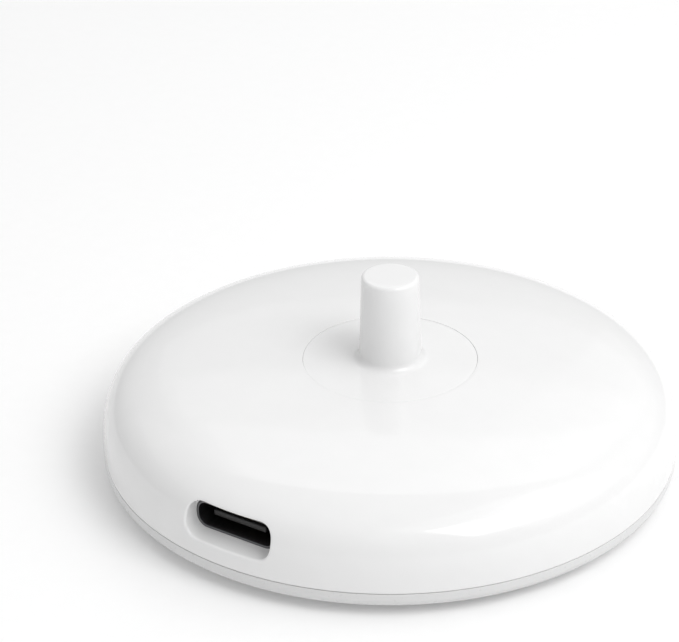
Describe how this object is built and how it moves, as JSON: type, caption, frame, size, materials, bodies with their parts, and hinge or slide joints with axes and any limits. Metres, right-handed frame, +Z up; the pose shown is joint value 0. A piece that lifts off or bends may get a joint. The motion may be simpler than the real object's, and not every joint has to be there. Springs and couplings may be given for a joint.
{
  "type": "electric toothbrush charging dock",
  "caption": "Round domed inductive charging dock with an upright post for a toothbrush handle, a USB-C inlet in its side wall and two rubber foot pads underneath.",
  "frame": {"origin": "on the table, under the middle of the round body", "axes": "+Z up along the charging post, -Y towards the USB-C inlet, +X to the right when the inlet faces the viewer"},
  "size_m": [0.065, 0.065, 0.0232],
  "materials": {
    "gloss_white_plastic": "polished neutral white ABS",
    "satin_white_plastic": "satin neutral white ABS",
    "dark_rubber": "matt dark grey rubber",
    "grey_silicone": "matt grey silicone",
    "plated_steel": "nickel plated steel",
    "black_plastic": "moulded black plastic",
    "ferrite": "sintered dark grey ferrite",
    "natural_nylon": "natural nylon",
    "enamelled_copper": "enamelled copper wire",
    "solder_mask": "green solder mask over glass laminate",
    "film_capacitor": "dipped red-brown epoxy",
    "capacitor_can": "drawn aluminium can"
  },
  "bodies": {
    "root": {"top_shell": "gloss_white_plastic", "post_cap": "gloss_white_plastic", "bottom_cover": "satin_white_plastic", "left_foot_pad": "dark_rubber", "right_foot_pad": "dark_rubber", "cover_seal": "grey_silicone", "post_cap_seal": "grey_silicone", "port_gasket": "grey_silicone", "cover_screw_1": "plated_steel", "cover_screw_2": "plated_steel", "cover_screw_3": "plated_steel", "cover_screw_4": "plated_steel", "board_screw_1": "plated_steel", "board_screw_2": "plated_steel", "board_screw_3": "plated_steel", "usb_shell": "plated_steel", "usb_tongue": "black_plastic", "ferrite_core": "ferrite", "coil_bobbin": "natural_nylon", "charging_coil": "enamelled_copper", "coil_lead_start": "enamelled_copper", "coil_lead_end": "enamelled_copper", "circuit_board": "solder_mask", "driver_chip": "black_plastic", "switching_transistor_1": "black_plastic", "switching_transistor_2": "black_plastic", "protection_diode": "black_plastic", "sense_resistor": "black_plastic", "gate_resistor_1": "black_plastic", "gate_resistor_2": "black_plastic", "power_inductor": "ferrite", "resonance_capacitor": "film_capacitor", "filter_capacitor": "capacitor_can"}
  },
  "joints": []
}
